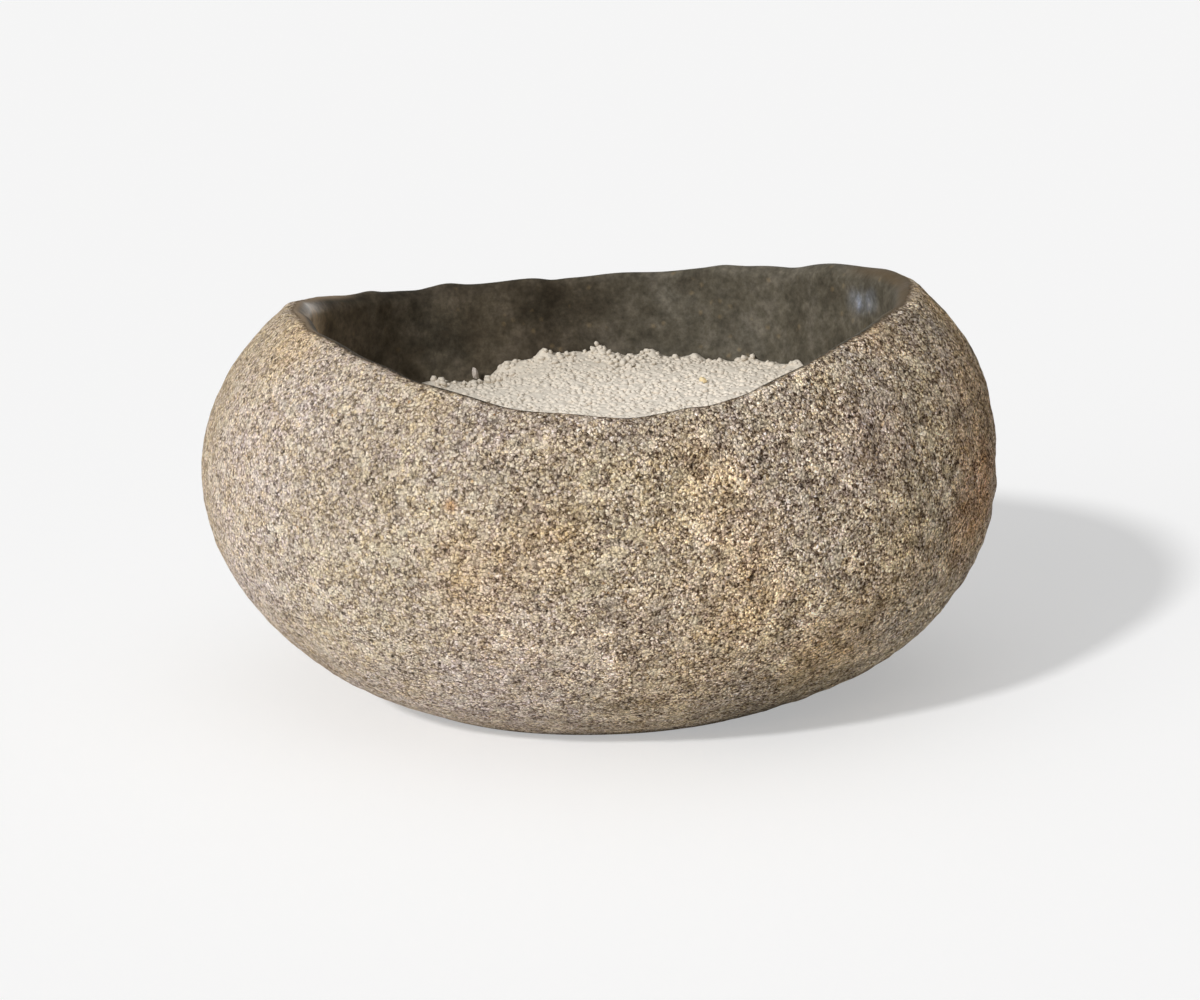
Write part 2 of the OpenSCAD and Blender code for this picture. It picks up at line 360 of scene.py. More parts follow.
def make_stone():
    a = np.arange(AROUND) * 360 / AROUND
    section, crest, lip_to = stone_section(a)
    r, z = section[:, 0], section[:, 1]
    p = np.stack([r * cosd(a), r * sind(a), z], -1)
    normal = surface_normals(p)
    # distance along the section from the crest of the lip, below 0 outside
    step = np.linalg.norm(np.diff(p, axis=0), axis=-1)
    along = np.concatenate([np.zeros((1, AROUND)), np.cumsum(step, axis=0)])
    along = along - along[crest]
    honed_from = HONED_FROM + sum(later * bump(a, at, width) for at, width, later in HONED_LATE)
    outside = 1 - smoothstep(-EDGE_FADE, EDGE_FADE, along - honed_from)
    inside = smoothstep(0, LIP_FADE, along - along[lip_to])
    off_base = smoothstep(0, GROUND_FADE, p[..., 2])
    coarser = 1 + COARSER * smoothstep(0, COARSER_AT, p[..., 0])
    fine = sum((pits(p, *pit) for pit in PITS), waves(p, FINE_WAVES))
    rough = waves(p, SLOW_WAVES) - ROUGH_SINK + coarser * fine
    polar = np.stack([np.broadcast_to(a / 360 * HOLLOW_ROUND, z.shape), z / MARK_STRETCH, 0 * z], -1)
    tooled = waves(polar, TOOL_MARKS) + waves(p, HOLLOW_WAVES) - HOLLOW_SINK
    honed = inside * tooled + (1 - inside) * waves(p, LIP_WAVES)
    move = off_base * (outside * rough + (1 - outside) * honed)
    p = p + normal * move[..., None]
    p[..., 2] = np.maximum(p[..., 2], 0)
    rings = len(p)
    points = np.concatenate([p.reshape(-1, 3), [[0, 0, 0], [0, 0, FLOOR_T]]])
    obj = make_object("river_stone", points, loft_faces(rings, AROUND, rings * AROUND, rings * AROUND + 1))
    for name, value in [("past_edge", along - honed_from), ("past_crest", along)]:
        layer = obj.data.attributes.new(name, "FLOAT", "POINT")
        ends = [value.min(), value.max()]
        layer.data.foreach_set("value", np.append(value.ravel(), ends).astype(np.float32))
    return obj


def grain_domes(flat):
    """Rise of the grains packed in the fill's surface, at points in plan."""
    shift = np.stack([lattice(flat, SHIFT_SIZE, 23), lattice(flat, SHIFT_SIZE, 24), 0 * flat[..., 0]], -1)
    d, own = cells(flat + DOME_SHIFT * shift, DOME_PITCH, 25)
    dome = (0.5 + 0.5 * own) * np.clip(1 - (d / DOME_HALF) ** 2, 0, 1)
    return waves(flat, FILL_WAVES) + DOME_H * (dome - DOME_SINK)


def make_fill_body():
    """The fill: the hollow's own shape below, and a top of packed grains."""
    around, wall, top = FILL_AROUND, FILL_WALL_RINGS, FILL_TOP_RINGS
    a = np.arange(around) * 360 / around
    mouth_r, mouth_z = mouth(a)
    edge_r = hollow_r(a, FILL_Z + 0 * a) - SEAT_GAP
    edge_z = loose_z(edge_r * cosd(a), edge_r * sind(a)) - BODY_DROP
    edge_r = hollow_r(a, edge_z) - SEAT_GAP
    b_edge = np.degrees(np.arcsin(((mouth_z - edge_z) / (mouth_z - FLOOR_T)) ** (HOLLOW_WALL / 2)))
    rings = []
    for k in range(1, wall + 1):
        b = 90 - (90 - b_edge) * k / wall
        z = mouth_z + (FLOOR_T - mouth_z) * sind(b) ** (2 / HOLLOW_WALL) + SEAT_GAP
        rings.append((mouth_r * cosd(b) ** (2 / HOLLOW_TURN) - SEAT_GAP, z))
    for k in range(1, top):
        r = edge_r * (1 - (k / top) ** RING_BOW)
        rings.append((r, loose_z(r * cosd(a), r * sind(a)) - BODY_DROP))
    r, z = np.array(rings)[:, 0], np.array(rings)[:, 1]
    p = np.stack([r * cosd(a), r * sind(a), z], -1)
    p[wall:, :, 2] += grain_domes(p[wall:] * (1, 1, 0))
    centre = float(p[-1, :, 2].mean())
    points = np.concatenate([p.reshape(-1, 3), [[0, 0, FLOOR_T + SEAT_GAP], [0, 0, centre]]])
    return make_object("fill_body", points, loft_faces(len(p), around, p[..., 0].size, p[..., 0].size + 1))


def icosahedron():
    g = (1 + 5**0.5) / 2
    points = np.array([
        (-1, g, 0), (1, g, 0), (-1, -g, 0), (1, -g, 0), (0, -1, g), (0, 1, g),
        (0, -1, -g), (0, 1, -g), (g, 0, -1), (g, 0, 1), (-g, 0, -1), (-g, 0, 1),
    ])
    faces = np.array([
        (0, 11, 5), (0, 5, 1), (0, 1, 7), (0, 7, 10), (0, 10, 11), (1, 5, 9), (5, 11, 4), (11, 10, 2),
        (10, 7, 6), (7, 1, 8), (3, 9, 4), (3, 4, 2), (3, 2, 6), (3, 6, 8), (3, 8, 9), (4, 9, 5),
        (2, 4, 11), (6, 2, 10), (8, 6, 7), (9, 8, 1),
    ])
    return points / math.hypot(1, g), faces


def grain_cloud(centres, lengths, rng, tilt=1.0):
    """Points and faces of broken grains, each a dented icosahedron turned at random. A low tilt lays them
    flat."""
    base, faces = icosahedron()
    corners = len(base)
    count = len(centres)
    dents = rng.uniform(*DENTS, (count, corners, 1))
    stretch = rng.uniform(*HALF_AXES, (count, 3))
    shape = base[None] * dents * stretch[:, None]
    q = rng.normal(size=(count, 4)) * (1, tilt, tilt, 1)
    w, x, y, z = (q / np.linalg.norm(q, axis=1, keepdims=True)).T
    turn = np.array([
        [1 - 2 * (y * y + z * z), 2 * (x * y - w * z), 2 * (x * z + w * y)],
        [2 * (x * y + w * z), 1 - 2 * (x * x + z * z), 2 * (y * z - w * x)],
        [2 * (x * z - w * y), 2 * (y * z + w * x), 1 - 2 * (x * x + y * y)],
    ]).transpose(2, 0, 1)
    points = np.einsum("nij,nkj->nki", turn, shape) * lengths[:, None, None] / 2 + centres[:, None]
    index = faces[None] + corners * np.arange(count)[:, None, None]
    return points.reshape(-1, 3), index.reshape(-1, 3).tolist()


def make_white_grains():
    """The grains that show on the fill: a close layer in its surface, and looser ones above, most of them by
    the back wall."""
    rng = np.random.default_rng(31)
    row_pitch = ROW_SHARE * GRAIN_PITCH
    rows = int(HALF_D / row_pitch) + 1
    columns = int(HALF_W / GRAIN_PITCH) + 1
    j, i = np.meshgrid(np.arange(-rows, rows + 1), np.arange(-columns, columns + 1), indexing="ij")
    centres, lengths = [], []
    for lift, share, by_wall in GRAIN_LAYERS:
        x = (GRAIN_PITCH * (i + 0.5 * (j % 2))).ravel() + rng.uniform(-GRAIN_STRAY, GRAIN_STRAY, i.size)
        y = (row_pitch * j).ravel() + rng.uniform(-GRAIN_STRAY, GRAIN_STRAY, i.size)
        length = rng.uniform(*GRAIN_LENGTH, i.size)
        ground = loose_z(x, y)
        place = np.stack([x, y, 0 * x + LAYERS_APART * lift], -1)
        clump = 0.5 + 0.5 * lattice(place, CLUMP_SIZE, CLUMP_SEED)
        filled = share + by_wall * smoothstep(*BY_WALL_FROM, y)
        keep = rng.uniform(0, 1, i.size) * CHANCE_PART + clump * CLUMP_PART < filled
        a = np.degrees(np.arctan2(y, x))
        keep &= np.hypot(x, y) + length * WALL_KEEP < hollow_r(a, ground + lift)
        z = ground + lift + rng.uniform(-GRAIN_STRAY_UP, GRAIN_STRAY_UP, i.size)
        centres.append(np.stack([x, y, z], -1)[keep])
        lengths.append(length[keep])
    points, faces = grain_cloud(np.concatenate(centres), np.concatenate(lengths), rng, GRAIN_TILT)
    return make_object("white_grains", points, faces)


def make_odd_grain(name, a, r, length, lift, seed, stretch=(1, 1, 1)):
    """One grain of its own colour, placed by a direction and a distance, and lifted above the fill's surface
    by so much."""
    x, y = r * cosd(a), r * sind(a)
    rng = np.random.default_rng(seed)
    points, faces = grain_cloud(np.zeros((1, 3)), np.array([length]), rng)
    return make_object(name, points * stretch + (x, y, loose_z(x, y) + lift), faces, smooth=False)


# Materials


def node(tree, kind, inputs=None, **settings):
    """Adds a node. inputs gives, by name or number, the socket or the value that each input takes."""
    n = tree.nodes.new(kind)
    for key, value in settings.items():
        setattr(n, key, value)
    for key, value in (inputs or {}).items():
        if isinstance(value, bpy.types.NodeSocket):
            tree.links.new(value, n.inputs[key])
        else:
            n.inputs[key].default_value = value
    return n


def srgb(r, g, b):
    """A linear colour from one as it is seen, 0 to 255."""
    seen = (r / 255, g / 255, b / 255)
    return tuple(c / 12.92 if c <= 0.04 else ((c + 0.055) / 1.055) ** 2.4 for c in seen) + (1,)


def maths(tree, operation, a, b=0.0, clamp=False):
    return node(tree, "ShaderNodeMath", {0: a, 1: b}, operation=operation, use_clamp=clamp).outputs[0]


def product(tree, first_value, *others):
    total = first_value
    for other in others:
        total = maths(tree, "MULTIPLY", total, other)
    return total


def rest_of(tree, value):
    """1 less the value."""
    return maths(tree, "SUBTRACT", 1.0, value)


def vector_maths(tree, operation, *values):
    return node(tree, "ShaderNodeVectorMath", dict(enumerate(values)), operation=operation).outputs


def map_range(tree, value, to_low, to_high, from_low=0.0, from_high=1.0, smooth=False):
    kind = "SMOOTHSTEP" if smooth else "LINEAR"
    ends = {0: value, 1: from_low, 2: from_high, 3: to_low, 4: to_high}
    return node(tree, "ShaderNodeMapRange", ends, interpolation_type=kind).outputs[0]


def steps(tree, value, low, high):
    """0 up to low, 1 from high on, smooth between; low may be the higher of the two."""
    if low < high:
        return map_range(tree, value, 0.0, 1.0, low, high, smooth=True)
    return map_range(tree, value, 1.0, 0.0, high, low, smooth=True)


def blend(tree, factor, a, b, mode="MIX"):
    n = node(tree, "ShaderNodeMix", {0: factor, 6: a, 7: b}, data_type="RGBA", blend_type=mode)
    return n.outputs[2]


def tinted(tree, colour, tint, share=None):
    """The colour times a tint, wholly or by a share."""
    full = blend(tree, 1.0, colour, tint, "MULTIPLY")
    return full if share is None else blend(tree, share, colour, full)


def ramp(tree, factor, stops):
    n = node(tree, "ShaderNodeValToRGB", {0: factor})
    for element in list(n.color_ramp.elements)[1:]:
        n.color_ramp.elements.remove(element)
    n.color_ramp.elements[0].position = stops[0][0]
    n.color_ramp.elements[0].color = stops[0][1]
    for at, colour in stops[1:]:
        n.color_ramp.elements.new(at).color = colour
    return n.outputs[0]


def noise_node(tree, where, size_mm, detail=2.0, roughness=0.5):
    settings = {"Vector": where, "Scale": 1000 / size_mm, "Detail": detail, "Roughness": roughness}
    return node(tree, "ShaderNodeTexNoise", settings)


def noise(tree, where, size_mm, detail=2.0, roughness=0.5):
    return noise_node(tree, where, size_mm, detail, roughness).outputs[0]


def voronoi(tree, where, size_mm):
    """Distance to the nearest of random points that far apart, and three random numbers of that point."""
    out = node(tree, "ShaderNodeTexVoronoi", {"Vector": where, "Scale": 1000 / size_mm}).outputs
    numbers = node(tree, "ShaderNodeSeparateColor", {0: out["Color"]}).outputs
    return out["Distance"], numbers


def near(tree, where, centre_mm, radius_mm):
    """1 at a place on the object, falling to 0 at that radius."""
    centre = [c * MM for c in centre_mm]
    d = vector_maths(tree, "DISTANCE", where, centre)["Value"]
    return map_range(tree, d, 1.0, 0.0, 0.0, radius_mm * MM, smooth=True)


def tinted_places(tree, colour, where, places, ragged):
    """The colour with tinted places whose edges that noise tears."""
    for centre, radius, tint, strength in places:
        reach = steps(tree, product(tree, near(tree, where, centre, radius), ragged), 0.05, 0.6)
        colour = tinted(tree, colour, tint, product(tree, reach, strength))
    return colour


def object_place(tree):
    return node(tree, "ShaderNodeTexCoord").outputs["Object"]


def mesh_value(tree, name):
    return node(tree, "ShaderNodeAttribute", attribute_name=name).outputs["Fac"]


def new_material(name):
    material = bpy.data.materials.new(name)
    material.use_nodes = True
    tree = material.node_tree
    tree.nodes.clear()
    return material, tree


def finish_material(tree, base, roughness, specular, height, depth_mm, glow=0.0, coat=None):
    """The surface: glow is the share of light that goes through the top, and coat a mask for polish."""
    inputs = {"Base Color": base, "Roughness": roughness, "Specular IOR Level": specular}
    if coat is not None:
        inputs.update({"Coat Weight": coat, "Coat Roughness": COAT_ROUGHNESS})
    if glow:
        inputs["Subsurface Weight"] = glow
        inputs["Subsurface Radius"] = GLOW_RADIUS
        inputs["Subsurface Scale"] = GLOW_DEPTH * MM
    relief = {"Height": height, "Distance": depth_mm * MM, "Strength": 1.0}
    inputs["Normal"] = node(tree, "ShaderNodeBump", relief).outputs[0]
    surface = node(tree, "ShaderNodeBsdfPrincipled", inputs)
    node(tree, "ShaderNodeOutputMaterial", {"Surface": surface.outputs[0]})


COAT_ROUGHNESS = 0.3
GLOW_DEPTH, GLOW_RADIUS = 2.5, (1.0, 0.95, 0.9)

# Sizes of the stone's grains, of the smaller ones among them and of its crystals, in mm
GRAIN, SMALL_GRAIN, CRYSTAL = 0.86, 0.45, 3.2
# How far noise bends the grains' outlines, and its own size, in mm
BEND, BEND_SIZE = 1.2, 1.1
# Sizes of the flecks and of the honed stone's ochre grains, in mm
FLECK, OCHRE_GRAIN = 1.7, 3.6
# The gaps' tone is painted shade in the crevices between the stone's grains; the crystals' tone is their own
GAP_PAINTED_SHADE, CRYSTAL_TONE = srgb(68, 54, 44), srgb(246, 236, 214)
# The pits' tone is painted shade in them; the dark flecks' tone is their own
PIT_PAINTED_SHADE, FLECK_TONE = srgb(66, 58, 48), srgb(74, 64, 54)
RUSTY_TONE, OCHRE_TONE, EDGE_TONE = srgb(196, 140, 74), srgb(172, 146, 104), srgb(110, 93, 74)
LEFT_LIP_TONE, RIGHT_LIP_TONE = srgb(134, 116, 94), srgb(88, 74, 55)
STONE_SPECULAR, GRAIN_SPECULAR = 0.03, 0.3
ROUGH_STONE, HONED_STONE = 0.9, 0.55
# Noises: size in mm, detail and roughness
UNEVEN, BROAD, MOTTLE, TINT_EDGE = (3.0, 2, 0.5), (60, 3, 0.6), (9, 4, 0.72), (12, 5, 0.75)
CLOUDS, SPECKLE, BLOTCH, HONED_TINT_EDGE = (14, 5, 0.7), (1.7, 2, 0.6), (4.5, 3, 0.6), (6, 4, 0.7)
WANDER, CLOUDY, GRAIN_RELIEF = (2.2, 3, 0.7), (1.6, 3, 0.6), (0.9, 2, 0.5)
# The parts that a grain and the smaller ones in it play in its tone, and how far the tones spread at the left
# and at the right of the stone, between these places, in metres; the wider spread at the right is painted
# shade of the relief, which the light grazes there
GRAIN_PART, SMALL_PART = 0.56, 0.44
SPREAD_LEFT, SPREAD_RIGHT, ACROSS = 0.88, 1.5, (-0.10, 0.08)
# Where a crystal's random number makes it show, and how strongly; how far out, in grains, the dark gaps,
# painted shade in the crevices between the grains, begin and are full, and how their strength varies
CRYSTALS, CRYSTAL_STRENGTH = (0.78, 0.84), 0.30
GAPS, GAP_LEAST, GAP_MOST = (0.42, 0.75), 0.3, 0.7
# Pits, dark flecks, rusty flecks and ochre grains: the share of the cells with one, or the number above which
# a cell has one; where it begins to fade and is gone, in cells from its middle; and its strength
PIT_SHARE, PIT_FADE, PIT_STRENGTH = 0.34, (0.10, 0.26), 0.7
FLECK_SHARE, FLECK_FADE, FLECK_STRENGTH = 0.18, (0.12, 0.36), 0.6
RUSTY_ABOVE, RUSTY_STRENGTH = 0.985, 0.5
OCHRE_ABOVE, OCHRE_FADE, OCHRE_STRENGTH = 0.85, (0.05, 0.4), 0.15
# The rough stone's edge: how far it wanders, and where it turns brown, how strongly, and then honed, in mm
EDGE_WANDER, BROWN_FROM, BROWN_STRENGTH, HONED_EDGE = 4.5, (-1.6, 0.2), 0.7, (-0.3, 0.9)
# The parts that its dome and its tone play in a grain's height, how high this relief is at the left and at
# the right, and how high that of the honed stone is
DOME_PART, TONE_PART = 0.6, 0.45
RELIEF_LEFT, RELIEF_RIGHT, HONED_RELIEF = 0.8, 1.35, 0.3

# Colours of the grains in the stone, from the darkest to the palest, and the hues that they vary between
GRAIN_STOPS = [
    (0.00, srgb(72, 58, 48)), (0.13, srgb(118, 102, 87)), (0.30, srgb(164, 149, 131)),
    (0.50, srgb(201, 185, 165)), (0.70, srgb(226, 211, 190)), (0.87, srgb(244, 231, 211)),
    (1.00, srgb(254, 248, 236)),
]
GRAIN_HUES = [
    (0.0, (0.98, 1.0, 0.99, 1)), (0.3, (0.99, 0.97, 1.05, 1)), (0.6, (1.0, 1.0, 0.98, 1)),
    (0.85, (1.02, 1.0, 0.91, 1)), (1.0, (1.04, 0.98, 0.84, 1)),
]
# Slow changes of hue, and the mottle at the left and at the right of the stone; the stronger mottle at the
# right is painted shade of the relief, which the light grazes there
BROAD_STOPS = [(0.38, (0.98, 0.97, 0.99, 1)), (0.62, (1.0, 0.97, 0.89, 1))]
EVEN_STOPS = [(0.3, (0.84, 0.83, 0.82, 1)), (0.7, (1.12, 1.12, 1.12, 1))]
SHADED_MOTTLE_STOPS = [(0.3, (0.50, 0.48, 0.46, 1)), (0.7, (1.50, 1.50, 1.49, 1))]

# Tints: ochre, rust and mauve for stains; pale, partly the stone's own cooler tone and partly painted light;
# shade, a painted shadow
OCHRE, RUST, MAUVE = (1.12, 0.98, 0.77, 1), (1.05, 0.80, 0.58, 1), (1.0, 0.97, 0.98, 1)
PALE_PAINTED_LIGHT, DULL, COOL = (1.13, 1.15, 1.24, 1), (0.86, 0.85, 0.85, 1), (0.90, 0.93, 0.97, 1)
LIGHT, BROWN, PAINTED_SHADOW = (1.14, 1.11, 1.06, 1), (1.0, 0.88, 0.76, 1), (0.50, 0.50, 0.48, 1)
# Tinted places: centre and radius in mm, the tint, and its strength. The ochre, rust and mauve ones are
# stains; the pale ones are partly the stone's own cooler tone and partly painted light on its left side and
# lower front; the darkest is a painted shadow under the base at the right front; the others make the stone
# duller, cooler, lighter or browner in places
STAINS_AND_PAINTED_LIGHT = [
    ((47, -109, 63), 32, OCHRE, 0.5), ((36, -110, 106), 26, OCHRE, 0.4), ((46, -111, 85), 24, OCHRE, 0.45),
    ((23, -99, 29), 36, OCHRE, 0.3), ((39, -102, 41), 32, OCHRE, 0.35), ((76, -84, 38), 44, OCHRE, 0.7),
    ((98, -82, 68), 36, OCHRE, 0.4), ((129, -48, 76), 44, RUST, 0.8), ((-40, -117, 75), 32, OCHRE, 0.7),
    ((-15, -120, 84), 28, OCHRE, 0.55), ((-46, -114, 95), 4.5, RUST, 0.9), ((-99, -48, 136), 28, OCHRE, 0.5),
    ((90, -86, 112), 40, MAUVE, 1.0), ((7, -113, 47), 34, MAUVE, 0.2), ((-114, -66, 101), 40, MAUVE, 0.5),
    ((-118, -78, 84), 100, PALE_PAINTED_LIGHT, 1.0), ((-60, -92, 18), 80, PALE_PAINTED_LIGHT, 1.0), ((-15, -110, 34), 60, PALE_PAINTED_LIGHT, 0.5),
    ((116, -8, 134), 30, OCHRE, 0.9), ((-30, -114, 110), 44, DULL, 0.7), ((-85, -95, 85), 120, COOL, 1.0),
    ((-83, -96, 102), 36, DULL, 0.9), ((67, -100, 95), 90, LIGHT, 0.9), ((60, -101, 53), 48, LIGHT, 0.5),
    ((27, -113, 103), 34, LIGHT, 0.6), ((27, -115, 71), 40, LIGHT, 0.8), ((12, -114, 51), 36, LIGHT, 0.7),
    ((92, -80, 114), 30, DULL, 1.0), ((131, -38, 104), 60, BROWN, 1.0), ((114, -64, 59), 34, LIGHT, 1.0),
    ((-28, -112, 47), 50, LIGHT, 1.0), ((-4, -110, 121), 24, DULL, 0.9), ((62, -60, 2), 62, PAINTED_SHADOW, 1.0),
    ((92, -56, 139), 26, OCHRE, 0.6), ((-118, -50, 50), 54, PALE_PAINTED_LIGHT, 0.7), ((96, -74, 112), 44, DULL, 0.7),
    ((128, -30, 122), 30, LIGHT, 1.0),
]

# Colours of the honed stone: its clouds, its blotches and its fine speckle
HONED_STOPS = [(0.36, srgb(54, 48, 39)), (0.5, srgb(63, 57, 47)), (0.64, srgb(75, 68, 58))]
BLOTCH_STOPS = [(0.34, (0.80, 0.79, 0.78, 1)), (0.66, (1.22, 1.20, 1.18, 1))]
SPECKLE_STOPS = [(0.3, (0.8, 0.8, 0.8, 1)), (0.7, (1.2, 1.2, 1.2, 1))]
# The hollow is paler to the right of its middle, partly its own greyer colour and partly painted light where
# the key light falls on the far wall, and in two steps towards its left end, painted light that lifts the
# shade
# there: where each begins and ends, in metres to that side, and its tint; and, in mm from the lip's crest,
# where the left one comes in
RIGHT_WALL_TONE_AND_LIGHT = (-0.022, 0.03, (1.62, 1.76, 1.9, 1))
BELOW_LIP = (3.0, 8.0)
LEFT_WALL_PAINTED_LIGHT = [(0.020, 0.055, (2.0, 2.05, 2.1, 1)), (0.080, 0.100, (1.4, 1.35, 1.3, 1))]
# The lip is brown at both ends: where that is gone and full, in mm from its crest and in metres to that side
LEFT_LIP, RIGHT_LIP, RIGHT_LIP_STRENGTH = ((4.8, 2.0), (0.088, 0.098)), ((8.0, 3.0), (0.088, 0.100)), 0.8
# Tinted places in the hollow: a painted bluish sheen at the right, grey clouds, darker ones at the left, and
# a pale painted sheen at that end, where the polished wall is seen at a grazing angle
RIGHT_PAINTED_SHEEN, GREY, DARK = (1.7, 1.95, 2.6, 1), (1.35, 1.38, 1.45, 1), (0.62, 0.64, 0.66, 1)
LEFT_PAINTED_SHEEN = (4.6, 4.4, 4.3, 1)
HONED_TINTS_AND_SHEENS = [
    ((-102, 12, 132), 40, LEFT_PAINTED_SHEEN, 1.0), ((94, 41, 130.5), 9, RIGHT_PAINTED_SHEEN, 0.9),
    ((96, 34, 131.7), 10, RIGHT_PAINTED_SHEEN, 0.9), ((98, 27, 133), 9, RIGHT_PAINTED_SHEEN, 0.9), ((30, 95, 120), 16, GREY, 1.0),
    ((54, 82, 106), 20, GREY, 1.0), ((-68, 83, 117), 24, DARK, 1.0), ((-58, 86, 104), 22, DARK, 1.0),
    ((-21, 99, 116), 18, DARK, 0.7),
]
# Where the honed stone shines: centre and radius in mm, how much, and from where past the lip's crest
POLISHED, POLISHED_PAST = ((-102, 14, 131), 30, 0.9), (2.0, 5.0)
# The fill darkens from a middle place outwards: the scale, the shift to the middle place, the tint, where it
# begins and is full on that scale, and its strength
OUTWARD_SCALE, OUTWARD_SHIFT, OUTWARD_TINT = (9.0, 10.4, 0), (-0.16, 0, 0), (0.80, 0.79, 0.765, 1)
OUTWARD_FROM, OUTWARD_STRENGTH = (0.25, 0.85), 0.75
# A grain's shade: the parts of its own number and of cloudiness, and where on the sum it begins and is full
OWN_SHADE, CLOUD_SHADE, SHADED = 0.6, 0.5, (0.2, 0.9)
# Depth of the relief in mm, of the stone and of the grains
STONE_RELIEF, FILL_RELIEF = 1.0, 0.1


def bent_place(tree, where):
    """The place bent by fine noise, so that the grains aren't straight-sided."""
    bent = noise_node(tree, where, BEND_SIZE, 1.0).outputs["Color"]
    bent = vector_maths(tree, "SUBTRACT", bent, (0.5, 0.5, 0.5))[0]
    return vector_maths(tree, "MULTIPLY_ADD", bent, [BEND * MM] * 3, where)[0]


def rough_grains(tree, where, bent, across):
    """Colour of the grains, their shade from 0 to 1, and the distance from the middle of each."""
    distance, (number, hue, _) = voronoi(tree, bent, GRAIN)
    _, (small_number, _, _) = voronoi(tree, bent, SMALL_GRAIN)
    value = maths(tree, "ADD", product(tree, number, GRAIN_PART), product(tree, small_number, SMALL_PART))
    # the grains differ more towards the right: painted shade of the relief, which the light grazes there
    spread = map_range(tree, across, SPREAD_LEFT, SPREAD_RIGHT)
    value = product(tree, maths(tree, "SUBTRACT", value, 0.5), spread)
    value = maths(tree, "ADD", value, 0.5, clamp=True)
    colour = tinted(tree, ramp(tree, value, GRAIN_STOPS), ramp(tree, hue, GRAIN_HUES))
    _, (patch, patch_hue, _) = voronoi(tree, bent, CRYSTAL)
    crystal = product(tree, steps(tree, patch, *CRYSTALS), CRYSTAL_STRENGTH)
    colour = blend(tree, crystal, colour, CRYSTAL_TONE)
    colour = tinted(tree, colour, ramp(tree, patch_hue, GRAIN_HUES), 0.5)
    # the gaps between the grains are darkened with painted shade
    uneven = map_range(tree, noise(tree, where, *UNEVEN), 0.15, 0.85, GAP_LEAST, GAP_MOST)
    gap = product(tree, steps(tree, distance, *GAPS), uneven)
    return blend(tree, gap, colour, GAP_PAINTED_SHADE), value, distance


def broad_tints(tree, where, colour, across):
    """The colour with slow changes of hue, mottle that grows to the right as painted shade, and stains,
    painted light and a painted shadow in places.
    """
    broad = noise(tree, where, *BROAD)
    colour = tinted(tree, colour, ramp(tree, broad, BROAD_STOPS))
    mottle = noise(tree, where, *MOTTLE)
    # the mottle grows stronger to the right: painted shade of the relief under grazing light
    mottled = blend(tree, across, ramp(tree, mottle, EVEN_STOPS), ramp(tree, mottle, SHADED_MOTTLE_STOPS))
    colour = tinted(tree, colour, mottled)
    return tinted_places(tree, colour, where, STAINS_AND_PAINTED_LIGHT, noise(tree, where, *TINT_EDGE))


def pitted(tree, bent, colour):
    """The colour with small pits darkened by painted shade, dark specks and a few rusty ones, and where the
    pits are.
    """
    distance, (number, _, _) = voronoi(tree, bent, CRYSTAL)
    chosen = maths(tree, "LESS_THAN", number, PIT_SHARE)
    hole = product(tree, chosen, rest_of(tree, steps(tree, distance, *PIT_FADE)))
    # the pits are darkened with painted shade
    colour = blend(tree, product(tree, hole, PIT_STRENGTH), colour, PIT_PAINTED_SHADE)
    distance, (kind, _, _) = voronoi(tree, bent, FLECK)
    core = rest_of(tree, steps(tree, distance, *FLECK_FADE))
    dark = product(tree, maths(tree, "LESS_THAN", kind, FLECK_SHARE), core)
    colour = blend(tree, product(tree, dark, FLECK_STRENGTH), colour, FLECK_TONE)
    rusty = product(tree, maths(tree, "GREATER_THAN", kind, RUSTY_ABOVE), core)
    return blend(tree, product(tree, rusty, RUSTY_STRENGTH), colour, RUSTY_TONE), hole


def honed_stone(tree, where, bent, crest, blotch):
    """Colour of the honed stone: dark, close-grained and cloudy, with a few ochre grains and a lip that is
    brown at both ends."""
    x = node(tree, "ShaderNodeSeparateXYZ", {0: where}).outputs[0]
    left = product(tree, x, -1.0)
    honed = ramp(tree, noise(tree, where, *CLOUDS), HONED_STOPS)
    honed = tinted(tree, honed, ramp(tree, blotch, BLOTCH_STOPS))
    honed = tinted(tree, honed, ramp(tree, noise(tree, where, *SPECKLE), SPECKLE_STOPS))
    # paler to the right: partly the wall's own greyer colour and partly painted light
    low, high, light = RIGHT_WALL_TONE_AND_LIGHT
    honed = tinted(tree, honed, light, steps(tree, x, low, high))
    below_lip = steps(tree, crest, *BELOW_LIP)
    # paler towards the left end: painted light that lifts the shade there
    for low, high, light in LEFT_WALL_PAINTED_LIGHT:
        honed = tinted(tree, honed, light, product(tree, steps(tree, left, low, high), below_lip))
    distance, (number, _, _) = voronoi(tree, bent, OCHRE_GRAIN)
    core = rest_of(tree, steps(tree, distance, *OCHRE_FADE))
    ochre = product(tree, maths(tree, "GREATER_THAN", number, OCHRE_ABOVE), core)
    honed = blend(tree, product(tree, ochre, OCHRE_STRENGTH), honed, OCHRE_TONE)
    # the tinted places include painted sheens at both ends of the hollow
    honed = tinted_places(tree, honed, where, HONED_TINTS_AND_SHEENS, noise(tree, where, *HONED_TINT_EDGE))
    left_end = product(tree, steps(tree, crest, *LEFT_LIP[0]), steps(tree, left, *LEFT_LIP[1]))
    right_end = product(tree, steps(tree, crest, *RIGHT_LIP[0]), steps(tree, x, *RIGHT_LIP[1]))
    honed = blend(tree, left_end, honed, LEFT_LIP_TONE)
    return blend(tree, product(tree, right_end, RIGHT_LIP_STRENGTH), honed, RIGHT_LIP_TONE)


